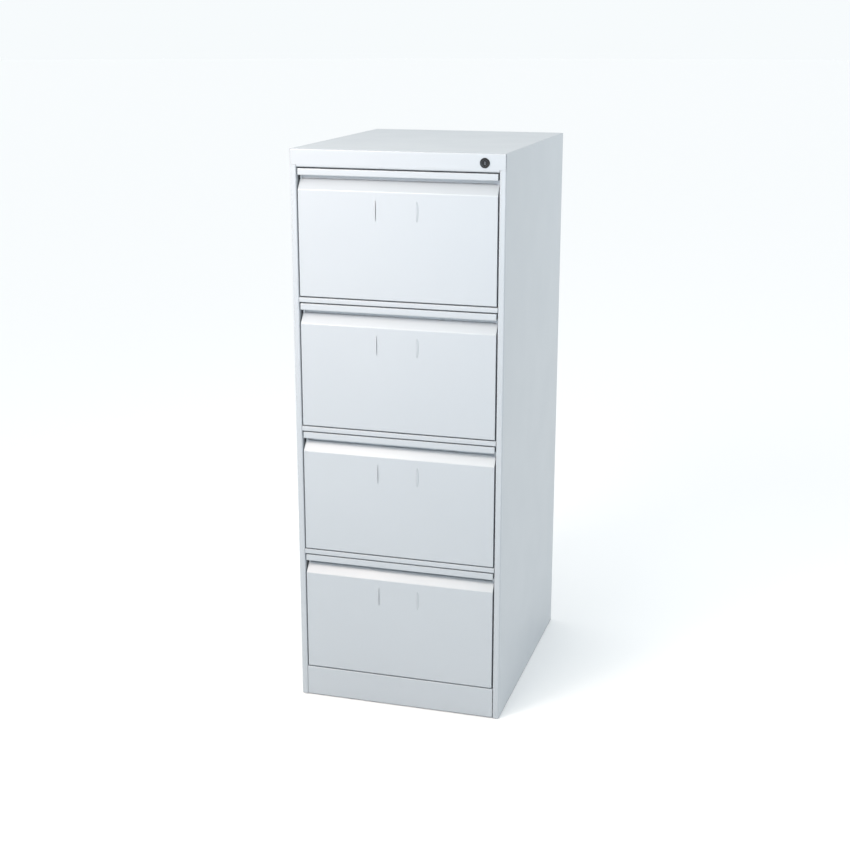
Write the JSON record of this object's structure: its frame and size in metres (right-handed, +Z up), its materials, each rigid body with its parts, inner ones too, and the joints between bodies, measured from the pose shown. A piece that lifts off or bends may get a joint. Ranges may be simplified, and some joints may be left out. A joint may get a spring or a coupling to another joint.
{
  "type": "filing cabinet",
  "caption": "Upright steel filing cabinet with full-width drawers on extending slides, recessed finger pulls and a key lock that bars the drawers.",
  "frame": {"origin": "on the floor, under the middle of the cabinet's overall box", "axes": "+Z up, +Y to the back, drawers open towards -Y, +X to the viewer's right"},
  "size_m": [0.494, 0.622, 1.32],
  "materials": {
    "powder_coat": "light cool grey powder coat, satin, fine orange peel",
    "zinc_plate": "bright zinc plate",
    "lock_bezel": "dark nickel",
    "lock_plug": "black, semi-gloss",
    "nylon": "moulded"
  },
  "bodies": {
    "case": {"side_panel_left": "powder_coat", "side_panel_right": "powder_coat", "top_panel": "powder_coat", "back_panel": "powder_coat", "plinth": "powder_coat", "base_pan": "powder_coat", "cross_rail_1": "powder_coat", "cross_rail_2": "powder_coat", "cross_rail_3": "powder_coat", "upright_front_left": "zinc_plate", "upright_front_right": "zinc_plate", "upright_rear_left": "zinc_plate", "upright_rear_right": "zinc_plate", "case_slide_1_left": "zinc_plate", "case_slide_1_right": "zinc_plate", "case_slide_2_left": "zinc_plate", "case_slide_2_right": "zinc_plate", "case_slide_3_left": "zinc_plate", "case_slide_3_right": "zinc_plate", "case_slide_4_left": "zinc_plate", "case_slide_4_right": "zinc_plate", "foot_front_left": "nylon", "foot_front_right": "nylon", "foot_rear_left": "nylon", "foot_rear_right": "nylon", "lock_housing": "lock_bezel", "bar_guide_lower": "nylon", "bar_guide_upper": "nylon"},
    "drawer_1": {"drawer_1_front": "powder_coat", "drawer_1_inner_front": "powder_coat", "drawer_1_tray": "powder_coat", "drawer_slide_1_left": "zinc_plate", "drawer_slide_1_right": "zinc_plate"},
    "slide_middle_1": {"middle_slide_1_left": "zinc_plate", "middle_slide_1_right": "zinc_plate"},
    "drawer_2": {"drawer_2_front": "powder_coat", "drawer_2_inner_front": "powder_coat", "drawer_2_tray": "powder_coat", "drawer_slide_2_left": "zinc_plate", "drawer_slide_2_right": "zinc_plate"},
    "slide_middle_2": {"middle_slide_2_left": "zinc_plate", "middle_slide_2_right": "zinc_plate"},
    "drawer_3": {"drawer_3_front": "powder_coat", "drawer_3_inner_front": "powder_coat", "drawer_3_tray": "powder_coat", "drawer_slide_3_left": "zinc_plate", "drawer_slide_3_right": "zinc_plate"},
    "slide_middle_3": {"middle_slide_3_left": "zinc_plate", "middle_slide_3_right": "zinc_plate"},
    "drawer_4": {"drawer_4_front": "powder_coat", "drawer_4_inner_front": "powder_coat", "drawer_4_tray": "powder_coat", "drawer_slide_4_left": "zinc_plate", "drawer_slide_4_right": "zinc_plate"},
    "slide_middle_4": {"middle_slide_4_left": "zinc_plate", "middle_slide_4_right": "zinc_plate"},
    "lock": {"lock_plug": "lock_plug", "lock_cam": "zinc_plate"},
    "lock_bar": {"lock_bar": "zinc_plate"}
  },
  "joints": [
    {"name": "drawer_1_slide", "type": "slide", "parent": "case", "child": "drawer_1", "axis": [0, -1, 0], "range_m": [0, 0.5]},
    {"name": "slide_middle_1_slide", "type": "slide", "parent": "case", "child": "slide_middle_1", "axis": [0, -1, 0], "range_m": [0, 0.25]},
    {"name": "drawer_2_slide", "type": "slide", "parent": "case", "child": "drawer_2", "axis": [0, -1, 0], "range_m": [0, 0.5]},
    {"name": "slide_middle_2_slide", "type": "slide", "parent": "case", "child": "slide_middle_2", "axis": [0, -1, 0], "range_m": [0, 0.25]},
    {"name": "drawer_3_slide", "type": "slide", "parent": "case", "child": "drawer_3", "axis": [0, -1, 0], "range_m": [0, 0.5]},
    {"name": "slide_middle_3_slide", "type": "slide", "parent": "case", "child": "slide_middle_3", "axis": [0, -1, 0], "range_m": [0, 0.25]},
    {"name": "drawer_4_slide", "type": "slide", "parent": "case", "child": "drawer_4", "axis": [0, -1, 0], "range_m": [0, 0.5]},
    {"name": "slide_middle_4_slide", "type": "slide", "parent": "case", "child": "slide_middle_4", "axis": [0, -1, 0], "range_m": [0, 0.25]},
    {"name": "lock_turn", "type": "hinge", "parent": "case", "child": "lock", "pos_m": [0.1995, -0.309, 1.2995], "axis": [0, -1, 0], "range_deg": [0, 90]},
    {"name": "lock_bar_lift", "type": "slide", "parent": "case", "child": "lock_bar", "axis": [0, 0, 1], "range_m": [0, 0.0184]}
  ],
  "couplings": [
    {"joint": "slide_middle_1_slide", "follows": "drawer_1_slide", "ratio": 0.5},
    {"joint": "slide_middle_2_slide", "follows": "drawer_2_slide", "ratio": 0.5},
    {"joint": "slide_middle_3_slide", "follows": "drawer_3_slide", "ratio": 0.5},
    {"joint": "slide_middle_4_slide", "follows": "drawer_4_slide", "ratio": 0.5},
    {"joint": "lock_turn", "follows": "lock_bar_lift", "rad_per_m": 85.368}
  ]
}
